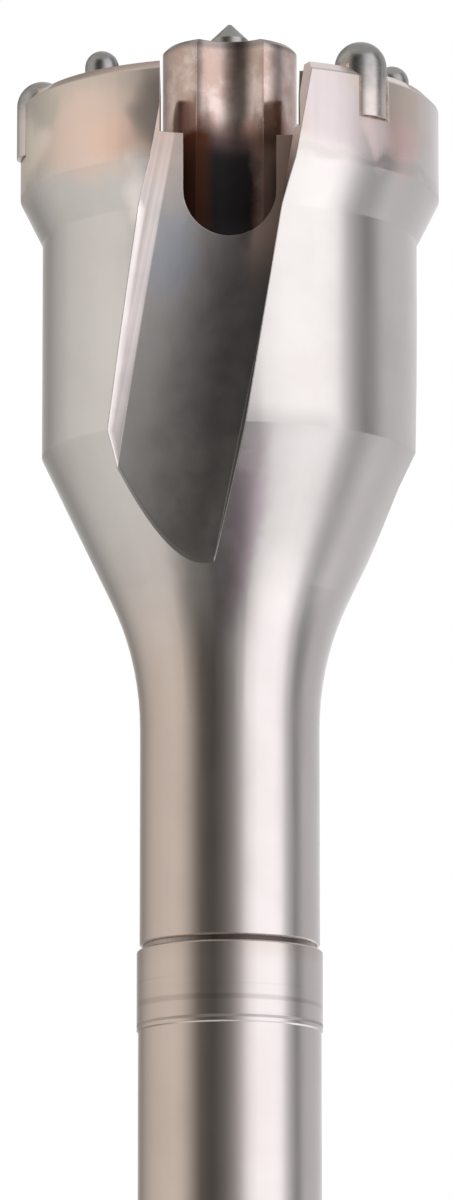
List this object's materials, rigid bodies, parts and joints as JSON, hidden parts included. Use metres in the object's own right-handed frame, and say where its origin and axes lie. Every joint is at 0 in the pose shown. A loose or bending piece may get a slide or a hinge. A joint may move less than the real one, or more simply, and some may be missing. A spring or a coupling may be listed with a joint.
{
  "type": "masonry drill bit",
  "caption": "Large hammer drill bit with a three-lobed, carbide-tipped crown, helical chip flutes, a three-winged centre stud and a splined shank.",
  "frame": {"origin": "centre of the shank's flat end face", "axes": "+Z along the bit towards the carbide tip, -Y towards the flute seen in the picture"},
  "size_m": [0.0451, 0.0437, 0.38],
  "materials": {
    "head_steel": "turned and milled steel, brown and pink heat tint round the crown",
    "stud_steel": "turned steel, brown heat tint",
    "shaft_steel": "ground bar steel, satin",
    "carbide": "dark sintered carbide, satin",
    "braze": "copper-coloured braze filler",
    "weld": "dark scaled weld line"
  },
  "bodies": {
    "root": {"head_body": "head_steel", "pilot_stud": "stud_steel", "pilot_braze": "braze", "centre_tip": "carbide", "centre_tip_braze": "braze", "weld_seam": "weld", "shaft": "shaft_steel", "gauge_insert_1": "carbide", "gauge_braze_1": "braze", "inner_insert_1": "carbide", "inner_braze_1": "braze", "gauge_insert_2": "carbide", "gauge_braze_2": "braze", "inner_insert_2": "carbide", "inner_braze_2": "braze", "gauge_insert_3": "carbide", "gauge_braze_3": "braze", "inner_insert_3": "carbide", "inner_braze_3": "braze"}
  },
  "joints": []
}
